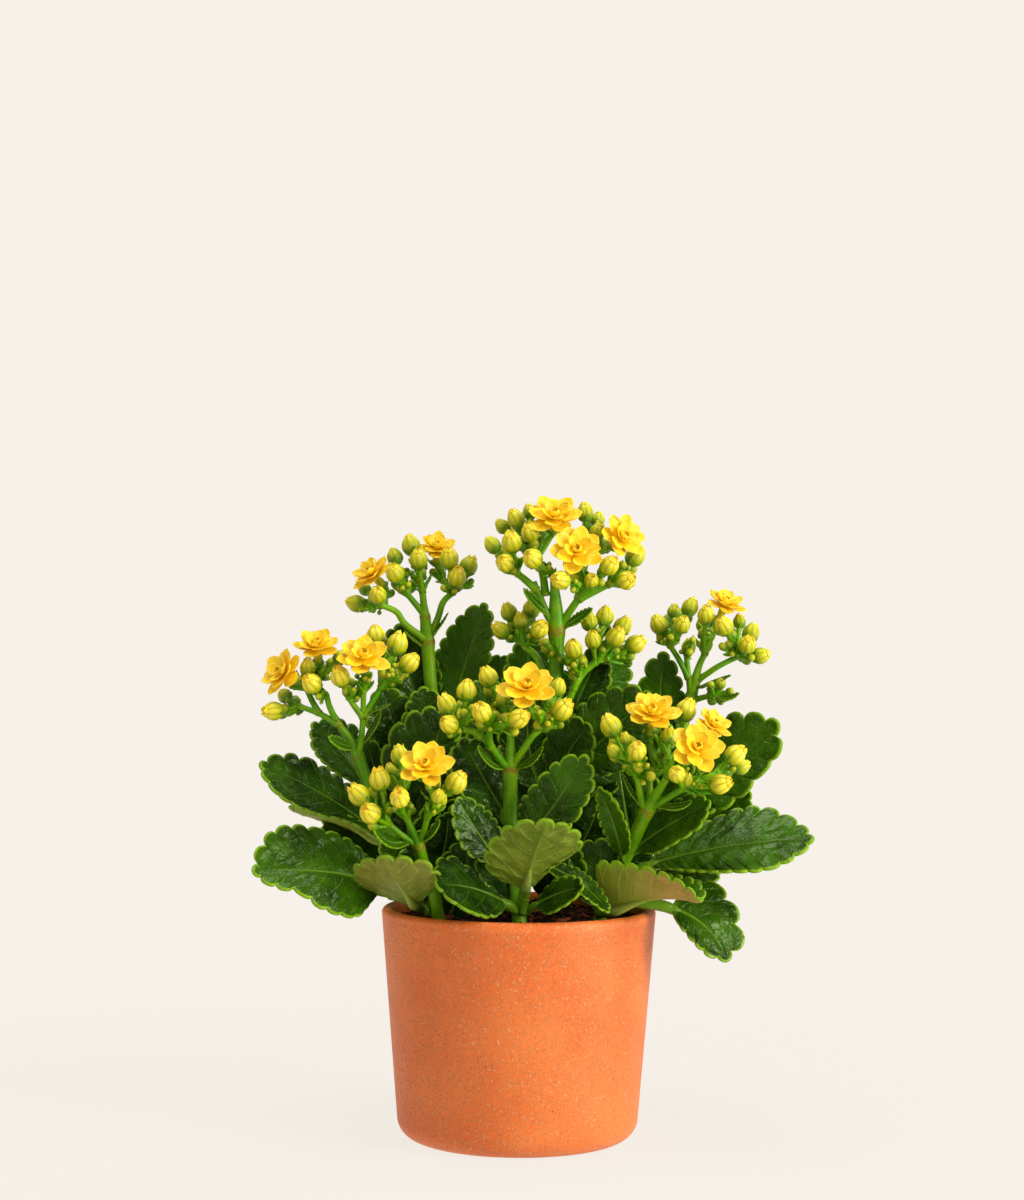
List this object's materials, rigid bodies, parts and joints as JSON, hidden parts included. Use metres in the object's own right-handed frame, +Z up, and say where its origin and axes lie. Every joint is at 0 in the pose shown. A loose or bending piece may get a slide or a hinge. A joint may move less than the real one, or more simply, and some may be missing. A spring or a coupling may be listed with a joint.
{
  "type": "potted kalanchoe",
  "caption": "Kalanchoe with double yellow flowers, closed buds and scalloped fleshy leaves, growing in a round tapered clay pot.",
  "frame": {"origin": "middle of the pot's flat underside", "axes": "+Z up along the pot's axis, +X to the right and -Y towards the viewer of the picture"},
  "size_m": [0.1995, 0.1575, 0.2335],
  "materials": {
    "clay": "matte",
    "potting_soil": "matte",
    "stem": "satin",
    "leaf": "satin",
    "petal": "satin",
    "bud": "satin"
  },
  "bodies": {
    "root": {"pot": "clay", "soil": "potting_soil", "stem_top": "stem", "stem_upper_left": "stem", "stem_left": "stem", "stem_upper_right": "stem", "stem_front": "stem", "stem_front_left": "stem", "stem_front_right": "stem", "stem_back_right": "stem", "stem_back_left": "stem", "flower_top_upper": "petal", "flower_top_front": "petal", "flower_top_right": "petal", "flower_upper_left_side": "petal", "flower_upper_left_top": "petal", "flower_left_side": "petal", "flower_left_top": "petal", "flower_left_front": "petal", "flower_upper_right": "petal", "flower_front": "petal", "flower_front_left": "petal", "flower_front_right_upper": "petal", "flower_front_right_lower": "petal", "flower_front_right_side": "petal", "flower_back_right_upper": "petal", "flower_back_right_lower": "petal", "flower_back_left": "petal", "leaf_left_upper": "leaf", "leaf_left_lower": "leaf", "leaf_rim_left": "leaf", "leaf_rim_round": "leaf", "leaf_rim_centre": "leaf", "leaf_rim_right": "leaf", "leaf_soil_front": "leaf", "leaf_bright_edge": "leaf", "leaf_speckled": "leaf", "leaf_right_inner": "leaf", "leaf_right_large": "leaf", "leaf_right_drooping": "leaf", "leaf_right_curled": "leaf", "leaf_right_under": "leaf", "leaf_tall": "leaf", "leaf_round_right": "leaf", "leaf_middle_right": "leaf", "leaf_behind_left": "leaf", "leaf_left_grey": "leaf", "leaf_front_dark": "leaf", "leaf_front_sheen": "leaf", "leaf_middle_small": "leaf", "leaf_middle_left": "leaf", "leaf_right_low": "leaf", "leaf_back_right_low": "leaf", "leaf_back_middle_right": "leaf", "leaf_back_middle": "leaf", "leaf_back_middle_left": "leaf", "leaf_back_left_low": "leaf", "leaf_back_right_high": "leaf", "leaf_back_high": "leaf", "leaf_back_left_high": "leaf"}
  },
  "joints": []
}
